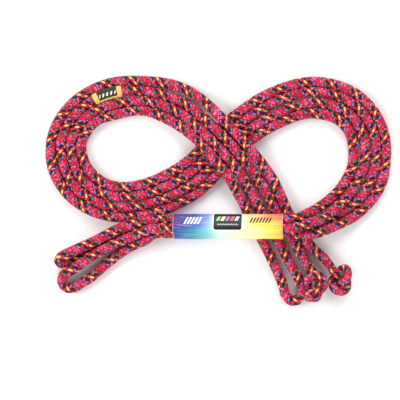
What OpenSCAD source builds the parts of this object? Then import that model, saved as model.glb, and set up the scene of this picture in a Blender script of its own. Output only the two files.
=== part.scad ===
// A long jump rope with a knot at each end. It is folded in four, laid as a pretzel,
// held by a printed paper sleeve, and labelled by a woven tape round one strand.
// The origin is on the surface that it lies on, under the middle of the whole object.

/* [Rope] */
// Diameter of the rope
rope_d = 9.5; // [9.2:0.1:9.6]
// Sides of the tube that stands for the rope
rope_sides = 8; // [8:2:12]
// Longest distance between two rings of the tube
ring_gap = 26; // [15:1:30]
// Most that the tube turns between two rings, in degrees
ring_turn = 15; // [12:1:20]

/* [Knots] */
// Thickness of the knot at the right
right_knot_d = 22; // [20:0.5:23]
// Thickness of the middle knot
middle_knot_d = 23; // [20:0.5:24]
// Length of cut rope that shows past a knot
tip_out = 6; // [3:0.5:7]

/* [Paper sleeve] */
// Length of the sleeve
sleeve_length = 110; // [90:1:112]
// Thickness of the paper
paper = 0.4; // [0.3:0.1:0.5]
// Room between the rope and the paper
sleeve_room = 0.65; // [0.6:0.05:0.7]
// Width of the glued overlap
overlap_w = 8; // [6:0.5:9]
// Thickness of the glue in the overlap
glue = 0.2; // [0.1:0.1:0.3]

/* [Woven label] */
// Thickness of the label
label_t = 0.5; // [0.4:0.1:0.6]
// Number of stitches along the label's seam
stitches = 6; // [4:1:8]

/* [Hidden] */
rope_colour = [0.88, 0.18, 0.34];
flat_r = rope_d / 2;
corner_r = flat_r / cos(180 / rope_sides);

// Inside the sleeve the strands lie two by two. These are the places of strands 1 to 4 across
// the bundle, as [y, z] from strand 3, which is the lowest.
bundle = [[5, 8.5], [-3.5, 13.5], [0, 0], [-8.5, 5]];
bundle_y = -34;
sleeve_x = 10;
bundle_slope = 1 / 12;
// Strand 3's height above a rope on the table. It rises over the diagonal strands.
function bundle_lift(x) = 11 + (x - 30) * bundle_slope;
function in_sleeve(strand) = [
    for (x = [-62, -56, 66, 72])
        [x, bundle_y + bundle[strand - 1][0], bundle_lift(x) + bundle[strand - 1][1]]
];

// The four strands, each from the lower left to the lower right, as [x, y, lift]. The lift is
// the height above a rope that lies on the table. Each strand goes through the sleeve, round
// the right loop, under the crossing, round the left loop, over the crossing and down.
strand_1 = [
    [-152, -63, 9.5], [-126, -51, 9], [-97, -37, 9.5],
    each in_sleeve(1),
    [88, -23, 19], [100, -17, 9], [110, -10, 3], [117, -4, 0], [123, 3, 0], [130, 14, 0],
    [135, 26, 0], [136, 40, 0], [132, 58, 0], [124, 69, 0], [98, 78, 0], [59, 67, 0], [34, 52, 0],
    [-30, -8, 0], [-67, -23, 0], [-96, -27, 0], [-124, -22, 0], [-152, -4, 0],
    [-167, 22, 0], [-169, 50, 0], [-162, 70, 0], [-147, 89, 0], [-113, 108, 0],
    [-77, 111, 0], [-33, 102, 0], [6, 70, 10], [31, 42, 10], [53, 14, 0],
    [72, -25, 0], [94, -57, 0]
];
strand_2 = [
    [-147, -79, 7], [-120, -61, 8], [-93, -48, 9],
    each in_sleeve(2),
    [88, -33, 26], [104, -27, 14], [116, -19, 8], [126, -9, 5], [136, 3, 0], [142, 14, 0],
    [147, 26, 0], [148, 38, 0], [144, 60, 0], [131, 78, 0], [99, 89, 0], [55, 76, 0], [28, 60, 0],
    [-35, 1, 0], [-70, -13, 0], [-96, -17, 0], [-121, -12, 0], [-145, 4, 0],
    [-156, 25, 0], [-159, 50, 0], [-152, 67, 0], [-140, 82, 0], [-126, 92, 0.5],
    [-98, 101, 0.5], [-77, 101, 0], [-40, 91, 0], [-3, 62, 10], [23, 34, 10], [42, 8, 0],
    [60, -25, 0], [81, -60, 0]
];
strand_3 = [
    [-149, -70, 0], [-124, -56, 0], [-95, -43, 0],
    each in_sleeve(3),
    [89, -36, 12.5], [105, -33, 4], [117, -26, 0], [129, -18, 0], [141, -9, 0], [150, 3, 0],
    [154, 14, 0], [158, 26, 0], [159, 38, 0], [155, 62, 0], [138, 86, 0], [100, 100, 0], [51, 87, 0], [22, 68, 0],
    [-40, 11, 0], [-73, -3, 0], [-96, -6, 0], [-118, -2, 0], [-138, 12, 0],
    [-146, 28, 0], [-149, 50, 0], [-142, 64, 0], [-133, 75, 0], [-106, 87, 0],
    [-77, 91, 0], [-45, 82, 0], [-12, 55, 10], [15, 26, 10], [31, 2, 0],
    [45, -25, 0], [65, -60, 0]
];
strand_4 = [
    [-130, -88, 0], [-116, -76, 0], [-102, -64.8, 0], [-88, -55.5, 2], [-75, -50, 6],
    each in_sleeve(4),
    [90, -44, 19], [108, -39, 12], [120, -34, 6], [133, -28, 1], [144, -20, 0],
    [152, -12, 0], [161, 1, 0], [166, 14, 0], [168, 26, 0], [169, 38, 0],
    [165, 64, 0], [144, 94, 0], [101, 110, 0], [46, 96, 0], [16, 76, 0],
    [-46, 20, 0], [-76, 7, 0], [-96, 4, 0], [-115, 8, 0], [-130, 20, 0],
    [-136, 31, 0], [-138, 50, 0], [-132, 61, 0], [-125, 69, 0], [-103, 77, 0],
    [-77, 81, 0], [-51, 72, 0], [-21, 50, 10], [6, 19, 10], [21, -5, 0],
    [31, -25, 0], [49, -60, 0]
];
// The folds that join the strands, and the rope's ends in the knots.
right_end = [[113, -77, 4], [106, -68, 2]];
fold_a = [[-156, -65, 9], [-160, -68, 7], [-161, -70.5, 4], [-159, -72.5, 1], [-154, -72, 0]];
fold_right = [[73, -76, 0], [82, -92, 0], [84, -102, 0], [80, -109, 0], [74, -111, 0],
    [68, -106, 0], [65, -96, 0], [58, -79, 0]];
fold_b = [[-140, -94, 0], [-147, -98, 0], [-154, -97, 0], [-158, -91, 1], [-156, -85, 4]];
middle_end = [[89, -73, 0], [95, -84, 2], [97, -89, 4]];
function backwards(list) = [for (i = [len(list) - 1:-1:0]) list[i]];
route = [
    each right_end, each backwards(strand_1), each fold_a, each strand_3, each fold_right,
    each backwards(strand_4), each fold_b, each strand_2, each middle_end
];
// The route point at which the label starts.
label_start = [-126, 92, 0.5];

// The route is joined by cubic curves. Across the table a point's direction is a mean of its
// two sides'. Up and down it is level at every crest and foot, so nothing dips under them.
function side(i) = (route[i + 1] - route[i]) / norm(route[i + 1] - route[i]);
function share(i) = norm(route[i] - route[i - 1]) / norm(route[i + 1] - route[i]);
function level(a, b) = a * b <= 0 ? 0 : 2 * a * b / (a + b);
function inner_way(i, a, b, w) =
    [(a.x + b.x * w) / (1 + w), (a.y + b.y * w) / (1 + w), level(a.z, b.z)];
function way(i) =
    i == 0 ? side(0)
    : i == len(route) - 1 ? side(i - 1)
    : inner_way(i, side(i - 1), side(i), share(i));
function place(i, t) =
    let (h = norm(route[i + 1] - route[i]))
    route[i] * (2 * t ^ 3 - 3 * t ^ 2 + 1) + way(i) * h * (t ^ 3 - 2 * t ^ 2 + t)
    + route[i + 1] * (3 * t ^ 2 - 2 * t ^ 3) + way(i + 1) * h * (t ^ 3 - t ^ 2);
function heading(i, t) =
    let (h = norm(route[i + 1] - route[i]))
    (route[i + 1] - route[i]) * (6 * t - 6 * t ^ 2)
    + way(i) * h * (3 * t ^ 2 - 4 * t + 1) + way(i + 1) * h * (3 * t ^ 2 - 2 * t);

// A ring is [centre, heading]. A stretch between two route points has more rings where it bends.
function turn(a, b) = acos(min(1, a * b / norm(a) / norm(b)));
function bend(i) =
    turn(heading(i, 0), heading(i, 0.5)) + turn(heading(i, 0.5), heading(i, 1));
function ring_count(i) =
    max(1, ceil(norm(route[i + 1] - route[i]) / ring_gap), ceil(bend(i) / ring_turn));
function ring(i, t) = [place(i, t) + [0, 0, flat_r], heading(i, t)];
function stretch(i) = let (n = ring_count(i)) [for (k = [0:n - 1]) ring(i, k / n)];
rope_rings = [
    for (i = [0:len(route) - 2]) each stretch(i),
    ring(len(route) - 2, 1)
];

// Corners of one ring, with flat sides below, above, left and right.
function unit(v) = v / norm(v);
function corners(ring, r) =
    let (left = unit(cross([0, 0, 1], ring[1])), up = unit(cross(ring[1], left)))
    [for (k = [0:rope_sides - 1])
        let (a = (k + 0.5) * 360 / rope_sides) ring[0] + r * (cos(a) * left + sin(a) * up)];
function skin(rings) = [
    for (j = [0:rings - 2], k = [0:rope_sides - 1])
        let (a = j * rope_sides + k, b = j * rope_sides + (k + 1) % rope_sides)
        each [[a, a + rope_sides, b], [b, a + rope_sides, b + rope_sides]]
];
module tube(rings, r) {
    last = (len(rings) - 1) * rope_sides;
    polyhedron(
        [for (ring = rings) each corners(ring, r)],
        [[for (k = [0:rope_sides - 1]) k], each skin(len(rings)),
            [for (k = [rope_sides - 1:-1:0]) last + k]]
    );
}

// Knots and the cut ends that come out of them.
right_knot_low = [122, -92, right_knot_d / 2];
right_knot_high = [122, -84, right_knot_d / 2];
middle_knot_at = [99, -98, middle_knot_d / 2];

// The sleeve's own axes: x along the bundle, y from strand 3 to 1, z from strand 3 to 4.
bundle_side = norm(bundle[0]);
bundle_turn = atan2(bundle[0][1], bundle[0][0]);
sleeve_r = flat_r + sleeve_room;
module at_sleeve() {
    translate([sleeve_x, bundle_y, flat_r + bundle_lift(sleeve_x)])
        rotate([0, -atan(bundle_slope), 0]) rotate([90, 0, 90]) rotate([0, 0, bundle_turn])
            children();
}
module round_square(r, length) {
    translate([0, 0, -length / 2]) {
        for (x = [0, bundle_side], y = [0, bundle_side])
            translate([x, y, 0]) cylinder(r = r, h = length, $fn = 48);
        translate([-r, 0, 0]) cube([bundle_side + 2 * r, bundle_side, length]);
        translate([0, -r, 0]) cube([bundle_side, bundle_side + 2 * r, length]);
    }
}

module rope() {
    color(rope_colour) tube(rope_rings, corner_r);
}

module right_knot() {
    color(rope_colour) {
        for (at = [right_knot_low, right_knot_high])
            translate(at) sphere(d = right_knot_d, $fn = 48);
        translate(right_knot_low) rotate([-90, 0, 0])
            cylinder(d = right_knot_d, h = norm(right_knot_high - right_knot_low), $fn = 48);
    }
}

module middle_knot() {
    color(rope_colour) translate(middle_knot_at) sphere(d = middle_knot_d, $fn = 48);
}

// The tips start inside the knots, where the rope goes on into the knot.
tip_in = 2;
module right_tip() {
    color("maroon") translate(right_knot_high + [2, right_knot_d / 2 - tip_in, 0])
        rotate([-90, 0, 0]) cylinder(d = rope_d, h = tip_out + tip_in, $fn = 32);
}

module middle_tip() {
    color("maroon") translate(middle_knot_at + [0, 0, middle_knot_d / 2 - tip_in])
        cylinder(d = rope_d, h = tip_out + tip_in, $fn = 32);
}

label_at = [for (i = [0:len(route) - 1]) if (route[i] == label_start) i][0];
label_rings = [each stretch(label_at), ring(label_at + 1, 0)];
module woven_label() {
    color("black") {
        // The label is a ring of tape: an outer skin and an inner skin, closed at both ends.
        n = len(label_rings);
        inner = n * rope_sides;
        last = (n - 1) * rope_sides;
        polyhedron(
            [for (ring = label_rings) each corners(ring, corner_r + label_t),
                for (ring = label_rings) each corners(ring, corner_r)],
            [each skin(n),
                for (f = skin(n)) [f[0] + inner, f[2] + inner, f[1] + inner],
                for (k = [0:rope_sides - 1]) let (m = (k + 1) % rope_sides)
                    each [[k, m, inner + m], [k, inner + m, inner + k],
                        [last + k, last + inner + m, last + m],
                        [last + k, last + inner + k, last + inner + m]]]
        );
    }
}

// Stitches on the label's slanting side that faces strand 3.
stitch = [2.4, 0.8, 0.5];
stitch_sunk = 0.15;
module label_stitches() {
    color("gold")
        for (k = [0:stitches - 1])
            let (at = ring(label_at, (k + 0.5) / stitches), up = [0, 0, 1])
            let (out = unit(up - unit(cross(up, at[1]))))
                translate(at[0] + out * (flat_r + label_t - stitch_sunk))
                    rotate([0, 0, atan2(at[1].y, at[1].x)]) rotate([45, 0, 0])
                        translate([-stitch.x, -stitch.y, 0] / 2) cube(stitch);
}

// The glued edge lies on the side from strand 3 to strand 4, which faces down.
module paper_sleeve() {
    color("lightblue") at_sleeve() {
        difference() {
            round_square(sleeve_r + paper, sleeve_length);
            round_square(sleeve_r, sleeve_length + 2);
        }
        translate([-sleeve_r - glue - 2 * paper, bundle_side - overlap_w, -sleeve_length / 2]) {
            cube([paper, overlap_w + paper, sleeve_length]);
            translate([0, overlap_w, 0]) cube([glue + 1.5 * paper, paper, sleeve_length]);
        }
    }
}

module sleeve_glue() {
    color("white") at_sleeve()
        translate([-sleeve_r - paper - glue, bundle_side - overlap_w, -sleeve_length / 2])
            cube([glue, overlap_w, sleeve_length]);
}

rope();
right_knot();
middle_knot();
right_tip();
middle_tip();
woven_label();
label_stitches();
paper_sleeve();
sleeve_glue();
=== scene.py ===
"""The visual model of the jump rope: a braided rope, knotted at both ends and folded into four strands, with a
woven label round one strand and a printed paper sleeve round all four."""

import math

import bpy
import numpy as np
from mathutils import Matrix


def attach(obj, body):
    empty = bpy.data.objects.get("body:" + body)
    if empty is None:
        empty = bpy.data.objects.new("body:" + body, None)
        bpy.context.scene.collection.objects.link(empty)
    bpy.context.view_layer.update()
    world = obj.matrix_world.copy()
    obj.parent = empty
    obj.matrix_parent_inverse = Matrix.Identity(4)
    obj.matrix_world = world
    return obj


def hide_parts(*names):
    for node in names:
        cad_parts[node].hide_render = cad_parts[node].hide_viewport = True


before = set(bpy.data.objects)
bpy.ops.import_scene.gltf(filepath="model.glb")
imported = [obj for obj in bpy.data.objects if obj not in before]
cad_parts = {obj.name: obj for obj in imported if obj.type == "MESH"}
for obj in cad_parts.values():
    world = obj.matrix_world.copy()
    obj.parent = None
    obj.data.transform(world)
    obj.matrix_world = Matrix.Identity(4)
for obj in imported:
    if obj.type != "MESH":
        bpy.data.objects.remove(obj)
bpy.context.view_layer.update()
MM = 0.001

# ---------------------------------------------------------------- camera
VIEW_CENTRE = (-0.0189, -0.0092)  # the point of the table that the camera is over
VIEW_WIDTH = 0.404  # metres of table across the picture
VIEW_HEIGHT = 2.5
SENSOR = 36  # millimetres


def add_camera():
    data = bpy.data.cameras.new("camera")
    data.sensor_width = SENSOR
    data.lens = SENSOR * VIEW_HEIGHT / VIEW_WIDTH
    data.clip_end = 20
    camera = bpy.data.objects.new("camera", data)
    camera.location = (*VIEW_CENTRE, VIEW_HEIGHT)
    bpy.context.scene.collection.objects.link(camera)
    bpy.context.scene.camera = camera


add_camera()

# ---------------------------------------------------------------- the rope's route, as in the CAD model
ROPE_D = 9.5 * MM
LOW = ROPE_D / 2  # height of the centre of a rope that lies on the table
BUNDLE_Y = -0.034
SLEEVE_X = 0.010
SLEEVE_LENGTH = 0.110
BUNDLE_SLOPE = 1 / 12
BUNDLE = {1: (0.005, 0.0085), 2: (-0.0035, 0.0135), 3: (0, 0), 4: (-0.0085, 0.005)}


def bundle_lift(x):
    return 0.011 + (x - 0.030) * BUNDLE_SLOPE


def in_sleeve(strand):
    across, up = BUNDLE[strand]
    return [
        (x, BUNDLE_Y + across, bundle_lift(x) + up)
        for x in (-0.062, -0.056, 0.066, 0.072)
    ]


# Each strand goes from the lower left, through the sleeve, round the right loop, under the crossing,
# round the left loop, over the crossing and down. A point is (x, y, lift), in metres.
strand_1 = [
    (-0.152, -0.063, 0.0095), (-0.126, -0.051, 0.009), (-0.097, -0.037, 0.0095),
    *in_sleeve(1),
    (0.088, -0.023, 0.019), (0.100, -0.017, 0.009), (0.110, -0.010, 0.003), (0.117, -0.004, 0),
    (0.123, 0.003, 0), (0.130, 0.014, 0), (0.135, 0.026, 0), (0.136, 0.040, 0), (0.132, 0.058, 0),
    (0.124, 0.069, 0), (0.098, 0.078, 0), (0.059, 0.067, 0), (0.034, 0.052, 0),
    (-0.030, -0.008, 0), (-0.067, -0.023, 0), (-0.096, -0.027, 0), (-0.124, -0.022, 0),
    (-0.152, -0.004, 0), (-0.167, 0.022, 0), (-0.169, 0.050, 0), (-0.162, 0.070, 0),
    (-0.147, 0.089, 0), (-0.113, 0.108, 0), (-0.077, 0.111, 0), (-0.033, 0.102, 0),
    (0.006, 0.070, 0.010), (0.031, 0.042, 0.010), (0.053, 0.014, 0), (0.072, -0.025, 0),
    (0.094, -0.057, 0),
]
strand_2 = [
    (-0.147, -0.079, 0.007), (-0.120, -0.061, 0.008), (-0.093, -0.048, 0.009),
    *in_sleeve(2),
    (0.088, -0.033, 0.026), (0.104, -0.027, 0.014), (0.116, -0.019, 0.008), (0.126, -0.009, 0.005),
    (0.136, 0.003, 0), (0.142, 0.014, 0), (0.147, 0.026, 0), (0.148, 0.038, 0), (0.144, 0.060, 0),
    (0.131, 0.078, 0), (0.099, 0.089, 0), (0.055, 0.076, 0), (0.028, 0.060, 0),
    (-0.035, 0.001, 0), (-0.070, -0.013, 0), (-0.096, -0.017, 0), (-0.121, -0.012, 0),
    (-0.145, 0.004, 0), (-0.156, 0.025, 0), (-0.159, 0.050, 0), (-0.152, 0.067, 0),
    (-0.140, 0.082, 0), (-0.126, 0.092, 0.0005), (-0.098, 0.101, 0.0005), (-0.077, 0.101, 0),
    (-0.040, 0.091, 0), (-0.003, 0.062, 0.010), (0.023, 0.034, 0.010), (0.042, 0.008, 0),
    (0.060, -0.025, 0), (0.081, -0.060, 0),
]
strand_3 = [
    (-0.149, -0.070, 0), (-0.124, -0.056, 0), (-0.095, -0.043, 0),
    *in_sleeve(3),
    (0.089, -0.036, 0.0125), (0.105, -0.033, 0.004), (0.117, -0.026, 0), (0.129, -0.018, 0),
    (0.141, -0.009, 0), (0.150, 0.003, 0), (0.154, 0.014, 0), (0.158, 0.026, 0), (0.159, 0.038, 0),
    (0.155, 0.062, 0), (0.138, 0.086, 0), (0.100, 0.100, 0), (0.051, 0.087, 0), (0.022, 0.068, 0),
    (-0.040, 0.011, 0), (-0.073, -0.003, 0), (-0.096, -0.006, 0), (-0.118, -0.002, 0),
    (-0.138, 0.012, 0), (-0.146, 0.028, 0), (-0.149, 0.050, 0), (-0.142, 0.064, 0),
    (-0.133, 0.075, 0), (-0.106, 0.087, 0), (-0.077, 0.091, 0), (-0.045, 0.082, 0),
    (-0.012, 0.055, 0.010), (0.015, 0.026, 0.010), (0.031, 0.002, 0), (0.045, -0.025, 0),
    (0.065, -0.060, 0),
]
strand_4 = [
    (-0.130, -0.088, 0), (-0.116, -0.076, 0), (-0.102, -0.0648, 0), (-0.088, -0.0555, 0.002),
    (-0.075, -0.050, 0.006),
    *in_sleeve(4),
    (0.090, -0.044, 0.019), (0.108, -0.039, 0.012), (0.120, -0.034, 0.006), (0.133, -0.028, 0.001),
    (0.144, -0.020, 0), (0.152, -0.012, 0), (0.161, 0.001, 0), (0.166, 0.014, 0), (0.168, 0.026, 0),
    (0.169, 0.038, 0), (0.165, 0.064, 0), (0.144, 0.094, 0), (0.101, 0.110, 0), (0.046, 0.096, 0),
    (0.016, 0.076, 0), (-0.046, 0.020, 0), (-0.076, 0.007, 0), (-0.096, 0.004, 0),
    (-0.115, 0.008, 0), (-0.130, 0.020, 0), (-0.136, 0.031, 0), (-0.138, 0.050, 0),
    (-0.132, 0.061, 0), (-0.125, 0.069, 0), (-0.103, 0.077, 0), (-0.077, 0.081, 0),
    (-0.051, 0.072, 0), (-0.021, 0.050, 0.010), (0.006, 0.019, 0.010), (0.021, -0.005, 0),
    (0.031, -0.025, 0), (0.049, -0.060, 0),
]
right_end = [(0.113, -0.077, 0.004), (0.106, -0.068, 0.002)]
fold_a = [
    (-0.156, -0.065, 0.009), (-0.160, -0.068, 0.007), (-0.161, -0.0705, 0.004),
    (-0.159, -0.0725, 0.001), (-0.154, -0.072, 0),
]
fold_right = [
    (0.073, -0.076, 0), (0.082, -0.092, 0), (0.084, -0.102, 0), (0.080, -0.109, 0),
    (0.074, -0.111, 0), (0.068, -0.106, 0), (0.065, -0.096, 0), (0.058, -0.079, 0),
]
fold_b = [
    (-0.140, -0.094, 0), (-0.147, -0.098, 0), (-0.154, -0.097, 0), (-0.158, -0.091, 0.001),
    (-0.156, -0.085, 0.004),
]
middle_end = [(0.089, -0.073, 0), (0.095, -0.084, 0.002), (0.097, -0.089, 0.004)]
LABEL_START = (-0.126, 0.092, 0.0005)
LABEL_END = (-0.098, 0.101, 0.0005)
route = [
    *right_end, *strand_1[::-1], *fold_a, *strand_3, *fold_right, *strand_4[::-1], *fold_b,
    *strand_2, *middle_end,
]


def smooth_route(points, spacing):
    """The cubic curve through the points, as the CAD model draws it, and where in it each part starts."""
    p = np.array(points)
    gap = np.linalg.norm(np.diff(p, axis=0), axis=1)
    side = np.diff(p, axis=0) / gap[:, None]
    way = np.empty_like(p)
    way[0], way[-1] = side[0], side[-1]
    share = (gap[:-1] / gap[1:])[:, None]
    way[1:-1] = (side[:-1] + side[1:] * share) / (1 + share)
    before, after = side[:-1, 2], side[1:, 2]
    total = np.where(before * after > 0, before + after, 1)
    way[1:-1, 2] = np.where(before * after > 0, 2 * before * after / total, 0)
    line, starts = [], []
    for i, h in enumerate(gap):
        t = np.arange(0, 1, spacing / h)[:, None]
        starts.append(sum(map(len, line)))
        line.append(
            p[i] * (2 * t**3 - 3 * t**2 + 1) + way[i] * h * (t**3 - 2 * t**2 + t)
            + p[i + 1] * (3 * t**2 - 2 * t**3) + way[i + 1] * h * (t**3 - t**2)
        )
    line = np.vstack([*line, p[-1:]])
    line[:, 2] += LOW
    return line, starts


def lengths_along(line):
    return np.r_[0, np.cumsum(np.linalg.norm(np.diff(line, axis=0), axis=1))]


def at_lengths(line, wanted):
    along = lengths_along(line)
    return np.stack([np.interp(wanted, along, line[:, k]) for k in range(3)], axis=1)


# ---------------------------------------------------------------- knots
KNOT_ROPE_D = 8.2 * MM  # a pulled knot squeezes the rope
KNOT_STEP = 2 * MM
SMOOTH_STEP = 0.5 * MM
KNOT_ROUNDS = 600


def tie_knot(entry, heading, middle, size, turn, over, tail_pull, room, length):
    """The centreline of an overhand knot, from its entry to its free tail. It is a trefoil, opened at one lobe,
    that relaxes until no part of the rope is nearer another than its own thickness. Room is the box that it is
    kept in."""
    t = np.linspace(math.pi + 0.5, 3 * math.pi - 0.5, 200)
    x, y, z = np.sin(t) + 2 * np.sin(2 * t), np.cos(t) - 2 * np.cos(2 * t), -np.sin(3 * t) * over
    c, s = math.cos(turn), math.sin(turn)
    curl = np.stack([c * x - s * y, s * x + c * y, z], axis=1) * size + middle
    if np.linalg.norm(curl[-1] - entry) < np.linalg.norm(curl[0] - entry):
        curl = curl[::-1]
    start = np.vstack([entry, entry + 1.5 * KNOT_STEP * heading, curl])
    count = round(length / KNOT_STEP) + 1
    first_step = lengths_along(start)[-1] / (count - 1)
    beads = at_lengths(start, np.arange(count) * first_step)
    one, other = np.triu_indices(count, k=math.ceil(1.35 * KNOT_ROPE_D / KNOT_STEP))
    for round_number in range(KNOT_ROUNDS):
        done = min(1, round_number / (0.6 * KNOT_ROUNDS))  # the last rounds have the rope's true length
        step = first_step + (KNOT_STEP - first_step) * done
        beads[-1] += tail_pull
        beads[1:-1] += 0.3 * ((beads[:-2] + beads[2:]) / 2 - beads[1:-1])
        for _ in range(6):
            for parity in (0, 1):
                a = np.arange(parity, count - 1, 2)
                apart = beads[a + 1] - beads[a]
                far = np.linalg.norm(apart, axis=1, keepdims=True)
                move = 0.5 * (far - step) * apart / far
                beads[a] += move
                beads[a + 1] -= move
            apart = beads[other] - beads[one]
            far = np.linalg.norm(apart, axis=1)
            near = far < KNOT_ROPE_D
            push = 0.4 * (KNOT_ROPE_D / far[near] - 1)[:, None] * apart[near]
            np.add.at(beads, other[near], push)
            np.add.at(beads, one[near], -push)
            beads[3:] = np.clip(beads[3:], *room)
            for k in range(3):
                beads[k] = entry + heading * step * k
    return softened(at_lengths(beads, np.arange(0, lengths_along(beads)[-1], SMOOTH_STEP)), passes=24)


def softened(line, passes):
    """The line with its kinks eased."""
    for _ in range(passes):
        line[1:-1] += 0.5 * ((line[:-2] + line[2:]) / 2 - line[1:-1])
    return line


# ---------------------------------------------------------------- the rope's centreline
ROPE_LENGTH = 4.877
ROWS = 5  # rows of picks round the braid
ROW_POINTS = 5  # mesh points across one row
PITCH = 27 * MM  # of one yarn's turn round the rope
RING_GAP = PITCH / ROWS / 4

route_line, route_starts = smooth_route(route, SMOOTH_STEP)
knot_length = (ROPE_LENGTH - lengths_along(route_line)[-1]) / 2


def unit(v):
    return v / np.linalg.norm(v, axis=-1, keepdims=True)


right_knot = tie_knot(
    route_line[0], unit(route_line[0] - route_line[2]), middle=(0.122, -0.088, 0.011),
    size=(0.0048, 0.0040, 0.0040), turn=-math.pi / 2, over=-1, tail_pull=(-2.5e-5, 1e-5, -1.5e-5),
    room=((0.114, -0.1015, 0.0042), (0.1295, -0.071, 0.020)), length=knot_length,
)
middle_knot = tie_knot(
    route_line[-1], unit(route_line[-1] - route_line[-3]), middle=(0.098, -0.096, 0.011),
    size=(0.0030, 0.0042, 0.0040), turn=math.pi, over=1, tail_pull=(-5e-6, -1e-5, 4.5e-5),
    room=((0.090, -0.1075, 0.0042), (0.1055, -0.083, 0.019)), length=knot_length,
)
joined = np.vstack([right_knot[:0:-1], route_line, middle_knot[1:]])
fine = at_lengths(joined, np.arange(0, lengths_along(joined)[-1], SMOOTH_STEP))
fine = softened(fine, passes=6)
rings = round(lengths_along(fine)[-1] / RING_GAP)
ring_along = np.linspace(0, lengths_along(fine)[-1], rings + 1)
centre = at_lengths(fine, ring_along)
rope_length = lengths_along(centre)[-1]
knot_ends = (lengths_along(right_knot)[-1], rope_length - lengths_along(middle_knot)[-1])


def ring_axes(line, first, last):
    """Heading, up and right of each ring. Between first and last, up is as near upright as it can be.
    Beyond them, in the knots, it is carried along without twisting."""
    heading = unit(np.gradient(line, axis=0))
    up = unit(np.array([0, 0, 1.0]) - heading * heading[:, 2:])
    for order in (range(first - 1, -1, -1), range(last + 1, len(line))):
        for i in order:
            near = up[i + 1] if i < first else up[i - 1]
            up[i] = unit(near - heading[i] * (near @ heading[i]))
    return heading, up, np.cross(heading, up)


first_ring, last_ring = np.searchsorted(ring_along, knot_ends)
STRAIGHT_RINGS = 8  # rings at each end of the route that still turn as the knot does
heading, up, right = ring_axes(centre, first_ring + STRAIGHT_RINGS, last_ring - STRAIGHT_RINGS)


# ---------------------------------------------------------------- meshes
def add_mesh(name, points, faces):
    mesh = bpy.data.meshes.new(name)
    mesh.from_pydata([tuple(p) for p in points], [], [tuple(f) for f in faces])
    mesh.update()
    mesh.polygons.foreach_set("use_smooth", [True] * len(mesh.polygons))
    piece = bpy.data.objects.new(name, mesh)
    bpy.context.scene.collection.objects.link(piece)
    return piece


def grid_faces(rows, columns):
    """Faces of a tube: rows of points along it, columns round it."""
    j, k = np.meshgrid(np.arange(rows - 1), np.arange(columns), indexing="ij")
    here, after = j * columns + k, j * columns + (k + 1) % columns
    return np.stack([here, after, after + columns, here + columns], axis=-1).reshape(-1, 4)


def set_corner_uv(piece, name, around, along):
    """UV at each face corner of a tube, from the numbers round it and along it. Those round it count up past
    the seam."""
    rows, columns = len(along), len(around) - 1
    layer = piece.data.uv_layers.new(name=name)
    j, k = np.meshgrid(np.arange(rows - 1), np.arange(columns), indexing="ij")
    u = np.stack([around[k], around[k + 1], around[k + 1], around[k]], axis=-1)
    v = np.stack([along[j], along[j], along[j + 1], along[j + 1]], axis=-1)
    sides = np.stack([u, v], axis=-1).reshape(-1)
    uv = np.zeros(2 * len(layer.data), np.float32)  # what is left is the flat ends'
    uv[: len(sides)] = sides
    layer.data.foreach_set("uv", uv)


def add_wrap(name, outer, inner, along, across, uv_name, reverse=False):
    """A sheet wrapped round the rope, from its two skins and the numbers along and across it for its UV."""
    rows, count = outer.shape[:2]
    columns = 2 * count
    order = -1 if reverse else 1
    faces = [*map(tuple, grid_faces(rows, columns)[:, ::order])]
    for first, way in ((0, -order), ((rows - 1) * columns, order)):
        for k in range(count - 1):
            ring = (first + k, first + k + 1, first + columns - 2 - k, first + columns - 1 - k)
            faces.append(ring[::way])
    wrap = add_mesh(name, np.concatenate([outer, inner[:, ::-1]], axis=1).reshape(-1, 3), faces)
    corner = np.zeros(len(wrap.data.loops), int)
    wrap.data.loops.foreach_get("vertex_index", corner)
    uv = np.stack([along[corner // columns], np.r_[across, across[::-1]][corner % columns]], axis=1)
    wrap.data.uv_layers.new(name=uv_name).data.foreach_set("uv", uv.astype(np.float32).reshape(-1))
    return wrap


def braid_height(around, along):
    """Height of the braid's picks, from 0 in the gaps between them to 1 on their crowns."""
    c, d = (along - around) % 1, (along + around) % 1
    return (np.sin(np.pi * c) * np.sin(np.pi * d)) ** 0.6


PICK_RELIEF = 0.50 * MM
CROWN_OUT = 0.42 * MM  # how far the crowns stand out of the rope's nominal size
SWELL = 0.42 * MM  # how much thicker the soft rope gets beside a neighbour that is a little way off
SWELL_ROOM = np.array([5.1, 5.6, 6.3, 6.9]) * MM  # half the distance to that neighbour
SWELL_SHARE = [0.1, 1, 1, 0.25]  # of SWELL, at each of those distances
SLEEVE_CLEAR = 0.003  # the rope doesn't swell this near the sleeve's ends,
LABEL_CLEAR = 0.018  # or this near the label's middle
SINK = 0.3 * MM  # how far the rope's underside may go below the table's plane


def room_beside(line):
    """Half the distance from each ring's centre to the nearest other stretch of the rope."""
    apart = math.ceil(2.2 * ROPE_D / RING_GAP)
    return np.array([
        np.linalg.norm(np.vstack([line[: max(0, i - apart)], line[i + apart :]]) - at, axis=1).min() / 2
        for i, at in enumerate(line)
    ])


columns = ROWS * ROW_POINTS
row_number = np.arange(columns + 1) / ROW_POINTS
pick_number = ring_along / PITCH * ROWS
fold_along = knot_ends[0] + lengths_along(route_line)[route_starts[route.index(fold_a[2])]]
twist = 0.10 * np.sin(pick_number / 23) + 0.08 * np.sin(pick_number / 9 + 1)  # in rows
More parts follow.
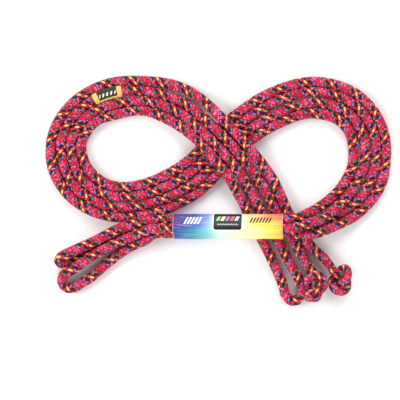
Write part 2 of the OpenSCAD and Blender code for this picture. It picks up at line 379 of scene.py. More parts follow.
# Strand 1, before the first fold, lies half a row round.
twist += np.interp(ring_along, [fold_along - 0.04, fold_along + 0.04], [0.5, 0])
squeeze = np.interp(
    ring_along,
    [knot_ends[0] - 0.004, knot_ends[0] + 0.012, knot_ends[1] - 0.012, knot_ends[1] + 0.004],
    [KNOT_ROPE_D, ROPE_D, ROPE_D, KNOT_ROPE_D],
) / 2
in_tube = abs(centre[:, 0] - SLEEVE_X) < SLEEVE_LENGTH / 2 + SLEEVE_CLEAR
in_tube &= abs(centre[:, 1] - BUNDLE_Y) < 0.013
in_tube &= centre[:, 2] - LOW > bundle_lift(centre[:, 0]) - 0.002
label_middle = np.mean([LABEL_START, LABEL_END], axis=0)
under_label = np.linalg.norm(centre - label_middle - (0, 0, LOW), axis=1) < LABEL_CLEAR
loose = np.convolve(np.pad(~(in_tube | under_label), 6, mode="edge"), np.ones(13) / 13, "valid")
loose *= np.interp(squeeze, [KNOT_ROPE_D / 2, ROPE_D / 2], [0, 1])
squeeze += SWELL * loose * np.interp(room_beside(centre), SWELL_ROOM, SWELL_SHARE)
angle = 2 * math.pi * (row_number[None, :-1] + twist[:, None]) / ROWS
relief = CROWN_OUT - PICK_RELIEF * (1 - braid_height(row_number[None, :-1], pick_number[:, None]))
radius = squeeze[:, None] + relief
rope_points = centre[:, None] + radius[..., None] * (
    np.cos(angle)[..., None] * up[:, None] + np.sin(angle)[..., None] * right[:, None]
)
rope_points = rope_points.reshape(-1, 3)
rope_points[:, 2] = np.maximum(rope_points[:, 2], -SINK)  # the table flattens its underside
rope_faces = [*map(tuple, grid_faces(rings + 1, columns))]
rope_faces += [tuple(range(columns))[::-1], tuple(range(rings * columns, (rings + 1) * columns))]
rope = add_mesh("braided_rope", rope_points, rope_faces)
set_corner_uv(rope, "rope_uv", row_number, pick_number)

# ---------------------------------------------------------------- materials


def srgb(red, green, blue):
    def linear(c):
        c /= 255
        return c / 12.92 if c <= 0.04045 else ((c + 0.055) / 1.055) ** 2.4

    return (linear(red), linear(green), linear(blue), 1)


class Nodes:
    """A material's node tree, with one short call for each kind of node that this scene uses."""

    def __init__(self, name):
        self.material = bpy.data.materials.new(name)
        self.material.use_nodes = True
        self.tree = self.material.node_tree
        self.shader = next(n for n in self.tree.nodes if n.type == "BSDF_PRINCIPLED")

    def add(self, kind, **settings):
        node = self.tree.nodes.new(kind)
        for key, value in settings.items():
            setattr(node, key, value)
        return node

    def put(self, value, socket):
        if isinstance(value, bpy.types.NodeSocket):
            self.tree.links.new(value, socket)
        else:
            socket.default_value = value

    def math(self, operation, *values):
        node = self.add("ShaderNodeMath", operation=operation)
        for value, socket in zip(values, node.inputs):
            self.put(value, socket)
        return node.outputs[0]

    def uv(self, name):
        node = self.add("ShaderNodeUVMap", uv_map=name)
        split = self.add("ShaderNodeSeparateXYZ")
        self.put(node.outputs[0], split.inputs[0])
        return split.outputs[0], split.outputs[1]

    def vector(self, x, y, z=0.0):
        node = self.add("ShaderNodeCombineXYZ")
        for value, socket in zip((x, y, z), node.inputs):
            self.put(value, socket)
        return node.outputs[0]

    def mix(self, share, a, b):
        node = self.add("ShaderNodeMix", data_type="RGBA")
        self.put(share, node.inputs["Factor"])
        self.put(a, node.inputs[6])
        self.put(b, node.inputs[7])
        return node.outputs[2]

    def ramp(self, value, stops):
        node = self.add("ShaderNodeValToRGB")
        elements = node.color_ramp.elements
        for _ in stops[2:]:
            elements.new(0.5)
        for element, (place, _) in zip(elements, stops):
            element.position = place
        for element, (_, colour) in zip(elements, stops):
            element.color = colour
        self.put(value, node.inputs[0])
        return node.outputs[0]

    def noise(self, vector, scale, detail=2.0, roughness=0.5):
        node = self.add("ShaderNodeTexNoise")
        self.put(vector, node.inputs["Vector"])
        node.inputs["Scale"].default_value = scale
        node.inputs["Detail"].default_value = detail
        node.inputs["Roughness"].default_value = roughness
        return node.outputs["Fac"]

    def random(self, vector):
        node = self.add("ShaderNodeTexWhiteNoise", noise_dimensions="3D")
        self.put(vector, node.inputs["Vector"])
        return node.outputs["Value"]

    def place(self):
        return self.add("ShaderNodeTexCoord").outputs["Object"]

    def remap(self, value, low, high, to_low=0.0, to_high=1.0):
        node = self.add("ShaderNodeMapRange")
        for v, socket in zip((value, low, high, to_low, to_high), node.inputs):
            self.put(v, socket)
        return node.outputs[0]

    def bump(self, height, distance, strength):
        node = self.add("ShaderNodeBump")
        node.inputs["Distance"].default_value = distance
        node.inputs["Strength"].default_value = strength
        self.put(height, node.inputs["Height"])
        return node.outputs[0]

    def finish(self, colour, roughness, normal=None, **sockets):
        self.put(colour, self.shader.inputs["Base Color"])
        self.put(roughness, self.shader.inputs["Roughness"])
        if normal is not None:
            self.put(normal, self.shader.inputs["Normal"])
        for name, value in sockets.items():
            self.shader.inputs[name.replace("_", " ")].default_value = value
        return self.material


def cover(piece, material):
    piece.data.materials.clear()
    piece.data.materials.append(material)


DOT_REACH = 0.17  # how far a coloured pick reaches over the pink picks at its ends, in pick lengths
DOT_SPREAD = 0.25  # how far the green and violet yarns spread over their pink neighbours, in yarn widths
RAMP_SCALE = 10.0  # a ramp's colours hold yarn numbers, divided by this


def yarns_spread(n, c):
    """The yarn number c, with the first of each five yarns, the green one, and the third, the violet one, made
    wider. The two pink yarns after them share the width that is left."""
    within = n.math("MODULO", c, float(ROWS))
    pink_width = (ROWS - 3 - 2 * DOT_SPREAD) / 2
    edges = [0, 1, 2, 3 + DOT_SPREAD, 3 + DOT_SPREAD + pink_width, ROWS - DOT_SPREAD, ROWS]
    begun = DOT_SPREAD / (1 + DOT_SPREAD)  # the share of the green yarn that lies before its five
    numbers = [begun, 1, 2, 3, 4, 5, 5 + begun]
    stops = [(edge / ROWS, (*[number / RAMP_SCALE] * 3, 1)) for edge, number in zip(edges, numbers)]
    spread = n.ramp(n.math("DIVIDE", within, float(ROWS)), stops)
    return n.math("ADD", n.math("SUBTRACT", c, within), n.math("MULTIPLY", spread, RAMP_SCALE))


def braid_material():
    """Two families of yarns, numbered c and d, cross over and under. Three neighbours of the first family are
    green, yellow and violet. The other yarns are pink."""
    n = Nodes("braid")
    around, along = n.uv("rope_uv")
    c = yarns_spread(n, n.math("SUBTRACT", n.math("ADD", along, 100.0), around))  # 100 keeps it positive
    d = n.math("ADD", along, around)
    c_number, d_number = n.math("FLOOR", c), n.math("FLOOR", d)
    c_part, d_part = n.math("FRACT", c), n.math("FRACT", d)
    odd = n.math("MODULO", n.math("ADD", c_number, d_number), 2.0)
    even = n.math("SUBTRACT", 1.0, odd)
    yarn = n.math("MODULO", c_number, float(ROWS))
    ply_number = n.math("FLOOR", n.math("MULTIPLY", n.math("ADD", c, d), 2.0))
    pick_random = n.random(n.vector(c_number, d_number, ply_number))

    # A coloured pick reaches a little over the pink picks at its two ends.
    past_end = n.math("GREATER_THAN", n.math("ABSOLUTE", n.math("SUBTRACT", d_part, 0.5)), 0.5 - DOT_REACH)
    coloured = n.math("LESS_THAN", yarn, 2.5)
    reach = n.math("MULTIPLY", n.math("MULTIPLY", odd, past_end), coloured)
    on_top = n.math("ADD", even, reach)  # where the family with the coloured yarns is on top
    under = n.math("SUBTRACT", 1.0, on_top)

    def pick_of(a, b):
        """a where the coloured family is on top, else b"""
        return n.math("ADD", n.math("MULTIPLY", a, on_top), n.math("MULTIPLY", b, under))

    nearer_end = n.math("SUBTRACT", 1.0, n.math("MULTIPLY", n.math("GREATER_THAN", d_part, 0.5), 2.0))
    lengthwise = n.math("ADD", d_part, n.math("MULTIPLY", reach, nearer_end))
    lengthwise = n.math("DIVIDE", n.math("ADD", lengthwise, DOT_REACH), 1 + 2 * DOT_REACH)
    across, lengthways = pick_of(c_part, d_part), pick_of(lengthwise, c_part)

    def is_yarn(number):
        return n.math("MULTIPLY", n.math("COMPARE", yarn, float(number), 0.1), on_top)

    # Relief: crowned picks, two plies in each, and fine filaments along them.
    crown = n.math(
        "MULTIPLY",
        n.math("SINE", n.math("MULTIPLY", across, math.pi)),
        n.math("SINE", n.math("MULTIPLY", lengthways, math.pi)),
    )
    gap = n.math("POWER", crown, 0.35)
    ply = n.math("ABSOLUTE", n.math("SINE", n.math("MULTIPLY", across, 2 * math.pi)))
    filament = n.noise(
        n.vector(n.math("MULTIPLY", across, 16.0), n.math("MULTIPLY", lengthways, 1.6), pick_random),
        3.0, detail=3.0,
    )
    height = n.math(
        "ADD",
        n.math("MULTIPLY", gap, 0.5),
        n.math("ADD", n.math("MULTIPLY", ply, 0.38), n.math("MULTIPLY", filament, 0.22)),
    )
    normal = n.bump(height, 0.7 * MM, 0.9)

    # Pink yarns: a little different pick by pick, the palest of that range a painted highlight, with painted
    # shade in the gaps and between the plies.
    drift = n.noise(n.vector(n.math("MULTIPLY", around, 0.6), n.math("MULTIPLY", along, 0.35)), 1.0)
    pink = n.ramp(
        n.math("ADD", n.math("MULTIPLY", pick_random, 0.55), n.math("MULTIPLY", drift, 0.45)),
        [
            (0.20, srgb(170, 2, 26)), (0.42, srgb(206, 10, 50)), (0.58, srgb(228, 42, 94)),
            (0.80, srgb(255, 134, 178)),
        ],
    )
    # Painted shade between the two plies of each pick.
    pink = n.mix(n.remap(ply, 0.0, 0.7, 0.8, 0.0), pink, srgb(130, 0, 24))
    # Across each coloured yarn: the pale stops of the green and violet are painted highlights on their far
    # sides, and all three go near-black where green, yellow and violet meet.
    green = n.ramp(
        across,
        [
            (0.04, srgb(110, 84, 92)), (0.24, srgb(126, 144, 142)), (0.44, srgb(44, 76, 72)),
            (0.62, srgb(20, 32, 36)), (0.80, srgb(4, 2, 6)),
        ],
    )
    yellow = n.ramp(
        across,
        [
            (0.10, srgb(6, 0, 4)), (0.24, srgb(190, 116, 56)), (0.36, srgb(255, 206, 116)),
            (0.62, srgb(255, 196, 104)), (0.76, srgb(180, 90, 48)), (0.92, srgb(6, 0, 4)),
        ],
    )
    violet = n.ramp(
        across,
        [
            (0.20, srgb(4, 0, 8)), (0.40, srgb(24, 14, 58)), (0.60, srgb(64, 50, 120)),
            (0.78, srgb(168, 156, 216)), (0.96, srgb(130, 60, 110)),
        ],
    )

    # A coloured pick has a painted dark rim, painted shade that makes it look rounded, and all picks get
    # painted shade in the gaps and where filaments part.
    colour = pink
    for number, paint in ((0, green), (1, yellow), (2, violet)):
        colour = n.mix(is_yarn(number), colour, paint)
    on_dot = n.math("MULTIPLY", on_top, coloured)
    colour = n.mix(n.math("MULTIPLY", on_dot, n.remap(crown, 0.14, 0.46, 1.0, 0.0)), colour, srgb(14, 0, 6))
    gap_shade = n.math("ADD", 0.6, n.math("MULTIPLY", on_dot, 0.3))
    colour = n.mix(n.math("MULTIPLY", n.remap(gap, 0.25, 0.62, 1.0, 0.0), gap_shade), colour, srgb(60, 0, 18))
    colour = n.mix(n.remap(filament, 0.35, 0.6, 0.25, 0.0), colour, srgb(80, 0, 14))
    return n.finish(
        colour, n.remap(filament, 0.3, 0.7, 0.42, 0.62), normal,
        Specular_IOR_Level=0.22, Sheen_Weight=0.06, Sheen_Roughness=0.4,
    )


cover(rope, braid_material())
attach(rope, "rope")
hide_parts("rope", "right_knot", "middle_knot", "right_tip", "middle_tip")

# ---------------------------------------------------------------- melted ends
END_SIDES = 28


def add_melted_end(name, at, out, side, radius):
    """The rope's cut end, melted so that it can't fray: a hard cap that bulges over the last picks."""
    profile = [  # (millimetres past the cut, share of the radius)
        (-2.6, 0.97), (-2.2, 1.05), (-1.2, 1.11), (0.0, 1.12), (0.9, 1.04), (1.7, 0.82), (2.2, 0.50),
        (2.35, 0.18),
    ]
    across = np.cross(out, side)
    a = 2 * math.pi * np.arange(END_SIDES) / END_SIDES
    lumps = 1 + 0.035 * np.sin(3 * a + 1) + 0.025 * np.sin(7 * a)
    points = []
    for along, share in profile:
        r = radius * share * (1 + (lumps - 1) * min(1, (along + 2.6) / 2))
        ring = np.cos(a)[:, None] * side + np.sin(a)[:, None] * across
        points.append(at + out * along * MM + r[:, None] * ring)
    points = np.vstack([*points, at + out * 2.3 * MM])
    last = (len(profile) - 1) * END_SIDES
    faces = [*map(tuple, grid_faces(len(profile), END_SIDES))]
    faces += [(last + k, last + (k + 1) % END_SIDES, last + END_SIDES) for k in range(END_SIDES)]
    faces += [tuple(range(END_SIDES))[::-1]]
    return add_mesh(name, points, faces)


def melted_material():
    n = Nodes("melted")
    place = n.place()
    swirl = n.noise(place, 420.0, detail=3.0, roughness=0.6)
    colour = n.ramp(
        swirl,
        [
            (0.30, srgb(60, 8, 26)), (0.45, srgb(150, 14, 50)), (0.56, srgb(196, 40, 84)),
            (0.64, srgb(90, 20, 60)), (0.72, srgb(176, 120, 60)),
        ],
    )
    normal = n.bump(n.noise(place, 900.0, detail=2.0), 0.25 * MM, 0.6)
    return n.finish(
        colour, n.remap(swirl, 0.3, 0.7, 0.22, 0.4), normal, Specular_IOR_Level=0.5, Coat_Weight=0.25,
    )


melted = melted_material()
melted_ends = [
    add_melted_end("right_melted_end", centre[0], -heading[0], up[0], radius[0].mean()),
    add_melted_end("middle_melted_end", centre[-1], heading[-1], up[-1], radius[-1].mean()),
]
for end in melted_ends:
    cover(end, melted)
    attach(end, "rope")

# ---------------------------------------------------------------- woven label
LABEL_R = ROPE_D / 2 + 0.35 * MM
LABEL_THICK = 0.45 * MM
LABEL_SIDES = 72
LABEL_STEPS = 60  # mesh steps along the label
LABEL_OVERLAP = math.radians(28)
SEAM_ANGLE = math.radians(62)
STITCHES = 6
STITCH_HALF = 1.35 * MM
THREAD_R = 0.34 * MM


def stretch_of_route(start):
    """The centreline from one route point to the next."""
    i = route.index(start)
    return route_line[route_starts[i] : route_starts[i + 1] + 1]


label_line = stretch_of_route(LABEL_START)
label_length = lengths_along(label_line)[-1]
label_line = at_lengths(label_line, np.linspace(0, label_length, LABEL_STEPS + 1))
_, label_up, label_right = ring_axes(label_line, 0, LABEL_STEPS)


def label_points(line_share, angle, r):
    """Points on the label, from the share of its length, the angle from its top towards its right, and the
    radius."""
    j = np.clip(np.asarray(line_share) * LABEL_STEPS, 0, LABEL_STEPS)
    k = np.minimum(j.astype(int), LABEL_STEPS - 1)
    f = (j - k)[..., None]
    at = label_line[k] * (1 - f) + label_line[k + 1] * f
    side = np.cos(angle)[..., None] * label_up[k] + np.sin(angle)[..., None] * label_right[k]
    return at + np.asarray(r)[..., None] * side


def add_label():
    """A tape that goes once round the rope, and whose edge overlaps its start at the seam."""
    turn = np.linspace(0, 2 * math.pi + LABEL_OVERLAP, LABEL_SIDES)
    lift = LABEL_THICK * 1.05 * np.clip((turn - 2 * math.pi + 0.25) / 0.25, 0, 1)
    share = np.linspace(0, 1, LABEL_STEPS + 1)
    wave = 0.06 * MM * np.sin(share * 37)[:, None] * np.sin(3 * turn)[None]
    angle = np.broadcast_to(SEAM_ANGLE + turn, (len(share), LABEL_SIDES))
    where = np.broadcast_to(share[:, None], angle.shape)
    inner = label_points(where, angle, LABEL_R + lift + wave)
    outer = label_points(where, angle, LABEL_R + lift + wave + LABEL_THICK)
    return add_wrap("woven_tape_label", outer, inner, share, turn + SEAM_ANGLE, "label_uv", reverse=True)


def inside_round_box(n, x, y, half_x, half_y, corner):
    """How far a point is outside a round-cornered box, in the units of x and y; negative inside."""
    qx = n.math("SUBTRACT", n.math("ABSOLUTE", x), half_x - corner)
    qy = n.math("SUBTRACT", n.math("ABSOLUTE", y), half_y - corner)
    away = n.math(
        "SQRT",
        n.math(
            "ADD",
            n.math("POWER", n.math("MAXIMUM", qx, 0.0), 2.0),
            n.math("POWER", n.math("MAXIMUM", qy, 0.0), 2.0),
        ),
    )
    within = n.math("MINIMUM", n.math("MAXIMUM", qx, qy), 0.0)
    return n.math("SUBTRACT", n.math("ADD", away, within), corner)


def hatch(n, x, y, period, share, half_width, half_height, slant=0.45):
    """1 on the bars of a short row of slanting bars, else 0, and the bar's number. Bars take a share of the
    period."""
    along = n.math("DIVIDE", n.math("ADD", x, n.math("MULTIPLY", y, slant)), period)
    bar = n.math("ABSOLUTE", n.math("SUBTRACT", n.math("FRACT", n.math("ADD", along, 0.5)), 0.5))
    on = n.remap(bar, share / 2, share / 2 + 0.08, 1.0, 0.0)
    fits = n.math(
        "MULTIPLY",
        n.math("LESS_THAN", n.math("ABSOLUTE", along), half_width / period),
        n.remap(n.math("ABSOLUTE", y), half_height, half_height + 0.25, 1.0, 0.0),
    )
    return n.math("MULTIPLY", on, fits), n.math("ROUND", along)


def label_material():
    """Gold tape with a dark woven field and a plain row of slanting bars. Ribs run across it."""
    n = Nodes("woven_label")
    share, angle = n.uv("label_uv")
    turned = n.math("SUBTRACT", n.math("MODULO", n.math("ADD", angle, math.pi), 2 * math.pi), math.pi)
    x = n.math("MULTIPLY", n.math("SUBTRACT", share, 0.5), label_length / MM)
    y = n.math("MULTIPLY", n.math("ADD", turned, 0.18), (LABEL_R + LABEL_THICK) / MM)
    field = inside_round_box(n, x, y, 10.0, 5.9, 1.6)
    bars, _ = hatch(n, x, n.math("SUBTRACT", y, 1.6), 4.2, 0.34, 8.6, 1.5)
    ribs = n.math("ABSOLUTE", n.math("SINE", n.math("MULTIPLY", x, math.pi / 0.55)))
    threads = n.math("ABSOLUTE", n.math("SINE", n.math("MULTIPLY", y, math.pi / 0.42)))
    fuzz = n.noise(n.vector(n.math("MULTIPLY", x, 3.0), y), 2.2, detail=3.0)
    gold = n.mix(fuzz, srgb(226, 172, 66), srgb(255, 222, 128))
    dark = n.mix(fuzz, srgb(18, 16, 12), srgb(52, 48, 34))
    colour = n.mix(n.remap(field, -0.15, 0.15, 1.0, 0.0), gold, dark)
    colour = n.mix(bars, colour, srgb(250, 240, 222))
    # Painted shade in the grooves between the ribs.
    colour = n.mix(n.remap(ribs, 0.0, 0.5, 0.45, 0.0), colour, srgb(30, 22, 12))
    height = n.math("ADD", n.math("MULTIPLY", ribs, 0.6), n.math("MULTIPLY", threads, 0.4))
    return n.finish(
        colour, n.remap(fuzz, 0.3, 0.7, 0.45, 0.65), n.bump(height, 0.18 * MM, 0.8),
        Specular_IOR_Level=0.35, Sheen_Weight=0.2,
    )


def add_stitches():
    """Gold thread along the label's seam. Each stitch is an arch whose ends go into the tape."""
    sides, steps = 10, 11
    points, faces = [], []
    for number in range(STITCHES):
        middle = (number + 0.5) / STITCHES
        t = np.linspace(-1, 1, steps)
        share = middle + t * STITCH_HALF / label_length
        lift = LABEL_R + 2.05 * LABEL_THICK + THREAD_R * (0.75 - 1.9 * t**4)
        line = label_points(share, np.full(steps, SEAM_ANGLE + 0.17), lift)
        _, out, over = ring_axes(line, 0, steps - 1)
        a = 2 * math.pi * np.arange(sides) / sides
        rings = line[:, None] + THREAD_R * (
            np.cos(a)[None, :, None] * out[:, None] + np.sin(a)[None, :, None] * over[:, None]
        )
        base = len(points) * steps * sides
        points.append(rings.reshape(-1, 3))
        faces += [tuple(base + i for i in f) for f in grid_faces(steps, sides)]
        faces.append(tuple(base + k for k in range(sides))[::-1])
        faces.append(tuple(base + (steps - 1) * sides + k for k in range(sides)))
    return add_mesh("label_stitch_thread", np.vstack(points), faces)


def thread_material():
    n = Nodes("gold_thread")
    twist = n.noise(n.place(), 2600.0, detail=2.0)
    return n.finish(
        n.mix(twist, srgb(206, 150, 52), srgb(255, 218, 120)), n.remap(twist, 0.3, 0.7, 0.35, 0.55),
        n.bump(twist, 0.1 * MM, 0.7), Sheen_Weight=0.15,
    )


label = add_label()
cover(label, label_material())
stitches = add_stitches()
cover(stitches, thread_material())
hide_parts("woven_label")
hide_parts("label_stitches")
for piece in (label, stitches):
    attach(piece, "rope")

# ---------------------------------------------------------------- paper sleeve
PAPER = 0.4 * MM
GLUE = 0.2 * MM
SLEEVE_R = ROPE_D / 2 + 0.65 * MM + PAPER / 2  # of the middle of the paper, round a strand at a corner
FLAP = 8 * MM
SLEEVE_CORNERS = (4, 3, 1, 2)
SLEEVE_ROWS = 56
TILT = math.atan(BUNDLE_SLOPE)


def sleeve_section():
    """The paper's cross-section: once round the four strands from the side between 4 and 3, then over its own
    start. It gives the points, the outward directions and the length along the paper to each."""
    corners = np.array([BUNDLE[k] for k in SLEEVE_CORNERS])
    side = np.linalg.norm(corners[1] - corners[0])
    out_angle = [
        math.atan2(*(corners[(k + 1) % 4] - corners[k])[::-1]) - math.pi / 2 for k in range(4)
    ]

    def along_side(k, first, last, count):
        """Points beside the side that leaves corner k, from one distance to another."""
        t = np.linspace(first, last, count)
        way = (corners[(k + 1) % 4] - corners[k]) / side
        out = np.array([math.cos(out_angle[k]), math.sin(out_angle[k])])
        bow = 0.22 * MM * np.sin(math.pi * np.clip(t / side, 0, 1)) ** 2
        return corners[k] + t[:, None] * way + (SLEEVE_R - bow)[:, None] * out, np.tile(out, (count, 1))

    def round_corner(k):
        a = np.linspace(out_angle[k - 1], out_angle[k - 1] + math.pi / 2, 16)
        out = np.stack([np.cos(a), np.sin(a)], axis=1)
        return corners[k] + SLEEVE_R * out, out

    parts = [along_side(0, 0.4 * MM, side, 14)]
    for k in (1, 2, 3):
        parts += [round_corner(k), along_side(k, 0, side, 14)]
    parts += [round_corner(0), along_side(0, 0, FLAP - 0.4 * MM, 12)]
    points, out = (np.vstack([part[i] for part in parts]) for i in (0, 1))
    keep = np.r_[True, np.linalg.norm(np.diff(points, axis=0), axis=1) > 1e-6]
    points, out = points[keep], out[keep]
    length = np.r_[0, np.cumsum(np.linalg.norm(np.diff(points, axis=0), axis=1))]
    lift = np.clip((length - (length[-1] - FLAP - 4.5 * MM)) / (4.5 * MM), 0, 1)
    lift = (PAPER + GLUE) * lift**2 * (3 - 2 * lift)
    return points + out * lift[:, None], out, length


section, section_out, section_length = sleeve_section()
facing = section_out[:, 0]  # 1 where the paper faces the picture's top, -1 where it faces its foot
middle_part = section_length < section_length[-1] - 2 * FLAP
top_edge = section_length[np.argmax(np.where(middle_part, facing, -2))]
low_edge = section_length[
    np.argmin(np.where(middle_part & (section_length > top_edge), facing, 2))
] + 3.1 * MM


def add_sleeve():
    """The paper sleeve with its wrinkles, and which of its faces are printed."""
    share = np.linspace(0, 1, SLEEVE_ROWS)
    q = section_length
    crease = (share[:, None] - 0.63 - 1.6 * (q[None] - 0.03)) / 0.012
    wrinkle = (
        np.sin(9 * share[:, None] + 160 * q[None]) * 0.06 + np.sin(23 * share[:, None] - 310 * q[None]) * 0.04
        - np.exp(-(crease**2)) * 0.10
    ) * MM
    x = (share - 0.5) * SLEEVE_LENGTH
    forward = np.array([math.cos(TILT), 0, math.sin(TILT)])
    upward = np.array([-math.sin(TILT), 0, math.cos(TILT)])
    origin = np.array([SLEEVE_X, BUNDLE_Y, LOW + bundle_lift(SLEEVE_X)])

    def skin(offset):
        flat = section[None] + section_out[None] * (wrinkle + offset)[..., None]
        sideways = np.array([0, 1.0, 0])
        return origin + x[:, None, None] * forward + flat[..., :1] * sideways + flat[..., 1:] * upward

    down = (q - top_edge) / (low_edge - top_edge)
    sleeve = add_wrap("printed_sleeve", skin(PAPER / 2), skin(-PAPER / 2), share, down, "sleeve_uv")
    columns = 2 * len(q)
    printed = np.arange(len(sleeve.data.polygons)) % columns < len(q) - 1
    printed[(SLEEVE_ROWS - 1) * columns :] = False
    return sleeve, printed


def row_of_colours(n, u, stops):
    return n.ramp(u, [(place, srgb(*colour)) for place, colour in stops])


def printed_material():
    """A rainbow print with soft rays, a dark panel with plain coloured bars, and a thin coat. No lettering."""
    n = Nodes("printed_paper")
    u, v = n.uv("sleeve_uv")
    x = n.math("MULTIPLY", u, SLEEVE_LENGTH / MM)
    y = n.math("MULTIPLY", v, (low_edge - top_edge) / MM)
    slanted = n.math("SUBTRACT", v, n.math("MULTIPLY", u, 0.22))
    rays = n.noise(
        n.vector(n.math("MULTIPLY", u, 2.2), n.math("MULTIPLY", slanted, 9.0)), 1.6, detail=3.0, roughness=0.6,
    )
    bent = n.math("ADD", v, n.math("MULTIPLY", n.math("SUBTRACT", rays, 0.5), 0.22))
    high = row_of_colours(n, u, [
        (0.0, (54, 24, 92)), (0.07, (72, 52, 140)), (0.2, (60, 78, 150)), (0.32, (118, 144, 206)),
        (0.38, (206, 204, 228)), (0.62, (232, 214, 186)), (0.72, (240, 200, 128)), (0.86, (240, 140, 76)),
        (1.0, (226, 78, 44)),
    ])
    middle = row_of_colours(n, u, [
        (0.0, (82, 28, 128)), (0.12, (60, 38, 140)), (0.24, (66, 92, 178)), (0.34, (150, 186, 228)),
        (0.40, (216, 228, 234)), (0.62, (236, 238, 196)), (0.72, (222, 228, 92)), (0.84, (244, 208, 44)),
        (1.0, (236, 150, 20)),
    ])
    low = row_of_colours(n, u, [
        (0.0, (26, 36, 128)), (0.08, (32, 88, 160)), (0.2, (44, 150, 166)), (0.32, (122, 200, 206)),
        (0.42, (210, 232, 224)), (0.62, (232, 234, 186)), (0.75, (238, 238, 158)), (0.9, (244, 218, 80)),
        (1.0, (240, 182, 44)),
    ])
    colour = n.mix(n.remap(bent, 0.30, 0.42), high, middle)
    colour = n.mix(n.remap(bent, 0.56, 0.72), colour, low)
    colour = n.mix(n.remap(rays, 0.56, 0.72, 0.0, 0.45), colour, srgb(236, 240, 250))
    dark_rays = n.math("MULTIPLY", n.remap(rays, 0.42, 0.28, 0.0, 0.35), n.remap(u, 0.35, 0.15))
    colour = n.mix(dark_rays, colour, srgb(52, 36, 130))

    # The panel in the middle, pale bars at its left and dark bars at its right, in millimetres.
    panel_x, panel_y = n.math("SUBTRACT", x, 55.0), n.math("SUBTRACT", y, 10.4)
    panel = inside_round_box(n, panel_x, panel_y, 14.0, 9.6, 2.4)
    colour = n.mix(n.remap(panel, 1.0, 1.25, 1.0, 0.0), colour, srgb(240, 242, 232))
    colour = n.mix(n.remap(panel, 0.0, 0.2, 1.0, 0.0), colour, srgb(16, 14, 18))
    bars, number = hatch(n, panel_x, n.math("ADD", panel_y, 2.6), 4.6, 0.62, 11.4, 2.3)
    bar_colour = row_of_colours(n, n.math("DIVIDE", n.math("ADD", number, 2.5), 5.0), [
        (0.1, (140, 196, 150)), (0.3, (232, 230, 150)), (0.5, (150, 118, 196)), (0.7, (206, 96, 100)),
        (0.9, (206, 212, 244)),
    ])
    colour = n.mix(bars, colour, bar_colour)
    wave = n.math("ABSOLUTE", n.math("SUBTRACT", n.math("FRACT", n.math("DIVIDE", x, 2.6)), 0.5))
    waved_y = n.math("ADD", panel_y, n.math("MULTIPLY", wave, -2.6))
    wave_off = n.math("ABSOLUTE", n.math("SUBTRACT", waved_y, 3.4))
    in_panel = n.math("LESS_THAN", n.math("ABSOLUTE", panel_x), 10.5)
    waves = n.math("MULTIPLY", n.remap(wave_off, 0.3, 0.6, 1.0, 0.0), in_panel)
    colour = n.mix(waves, colour, srgb(206, 200, 196))
    pale_bars, _ = hatch(n, n.math("SUBTRACT", x, 20.0), n.math("SUBTRACT", y, 10.2), 3.4, 0.46, 7.6, 3.8)
    colour = n.mix(pale_bars, colour, srgb(252, 252, 255))
    dark_bars, _ = hatch(n, n.math("SUBTRACT", x, 88.0), n.math("SUBTRACT", y, 9.6), 3.1, 0.52, 10.4, 2.8)
    colour = n.mix(dark_bars, colour, srgb(46, 26, 4))
    edge = n.math("ABSOLUTE", n.math("SUBTRACT", u, 0.5))
    colour = n.mix(n.remap(edge, 0.492, 0.498, 0.0, 0.5), colour, srgb(250, 236, 216))

    fibres = n.noise(n.vector(x, y), 3.2, detail=4.0, roughness=0.65)
    soft = n.noise(n.vector(n.math("MULTIPLY", x, 0.05), n.math("MULTIPLY", y, 0.12)), 1.0)
    height = n.math("ADD", n.math("MULTIPLY", fibres, 0.15), soft)
    return n.finish(
        colour, n.remap(fibres, 0.3, 0.7, 0.42, 0.56), n.bump(height, 0.25 * MM, 0.5),
        Specular_IOR_Level=0.4, Coat_Weight=0.08, Coat_Roughness=0.3,
    )


def plain_paper_material():
    n = Nodes("paper_back")
    fibres = n.noise(n.place(), 1400.0, detail=4.0, roughness=0.65)
    return n.finish(
        n.mix(fibres, srgb(226, 222, 214), srgb(248, 246, 240)), n.remap(fibres, 0.3, 0.7, 0.7, 0.9),
        n.bump(fibres, 0.08 * MM, 0.5), Specular_IOR_Level=0.3,
    )


def glue_material():
    n = Nodes("dried_glue")
    streaks = n.noise(n.place(), 500.0, detail=3.0)
    return n.finish(
        n.mix(streaks, srgb(214, 206, 184), srgb(240, 236, 222)), n.remap(streaks, 0.3, 0.7, 0.2, 0.45),
        n.bump(streaks, 0.1 * MM, 0.5), Specular_IOR_Level=0.5,
    )


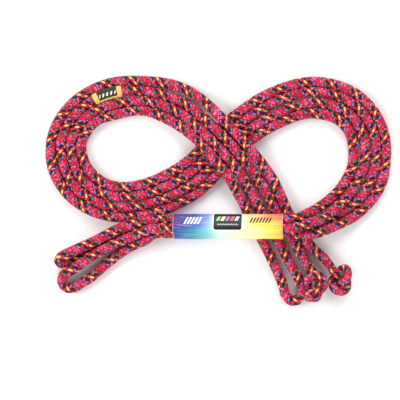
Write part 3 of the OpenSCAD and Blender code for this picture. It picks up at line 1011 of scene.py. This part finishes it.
sleeve, printed_faces = add_sleeve()
cover(sleeve, printed_material())
sleeve.data.materials.append(plain_paper_material())
sleeve.data.polygons.foreach_set("material_index", np.where(printed_faces, 0, 1).astype(np.int32))
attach(sleeve, "sleeve")
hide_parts("paper_sleeve")
cover(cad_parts["sleeve_glue"], glue_material())

# ---------------------------------------------------------------- floor and light


FLOOR_HALF = 3.0
FLOOR_Z = -0.4 * MM  # just under the rope's sunken underside
LAMP_SIZE = 1.6
LAMP_DISTANCE = 2.4
LAMP_LEAN = math.radians(58)  # from straight down
LAMPS = (("left", 268, 46), ("far", 172, 42), ("right", 92, 21), ("near", 352, 29))  # (name, azimuth, watts)
WORLD_STRENGTH = 0.36


def add_floor():
    corners = [(x * FLOOR_HALF, y * FLOOR_HALF, 0) for x, y in ((-1, -1), (1, -1), (1, 1), (-1, 1))]
    floor = add_mesh("floor", corners, [(0, 1, 2, 3)])
    n = Nodes("floor_paper")
    colour = n.mix(n.noise(n.place(), 900.0), (0.90, 0.90, 0.90, 1), (0.92, 0.92, 0.92, 1))
    cover(floor, n.finish(colour, 0.9, Specular_IOR_Level=0.1))
    floor.location.z = FLOOR_Z


def add_light(name, azimuth, power):
    """A large soft lamp that leans in from one side, as in a light tent."""
    data = bpy.data.lights.new(name, "AREA")
    data.shape = "DISK"
    data.size = LAMP_SIZE
    data.energy = power
    lamp = bpy.data.objects.new(name, data)
    out = LAMP_DISTANCE * math.sin(LAMP_LEAN)
    lamp.location = (out * math.sin(azimuth), -out * math.cos(azimuth), LAMP_DISTANCE * math.cos(LAMP_LEAN))
    lamp.rotation_euler = (LAMP_LEAN, 0, azimuth)
    bpy.context.scene.collection.objects.link(lamp)


def add_world():
    world = bpy.data.worlds.new("studio")
    world.use_nodes = True
    background = world.node_tree.nodes["Background"]
    background.inputs["Color"].default_value = (1, 1, 1, 1)
    background.inputs["Strength"].default_value = WORLD_STRENGTH
    bpy.context.scene.world = world


add_floor()
add_world()
for name, degrees, power in LAMPS:
    add_light(name, math.radians(degrees), power)
bpy.context.scene.view_settings.view_transform = "Standard"

bpy.context.view_layer.update()
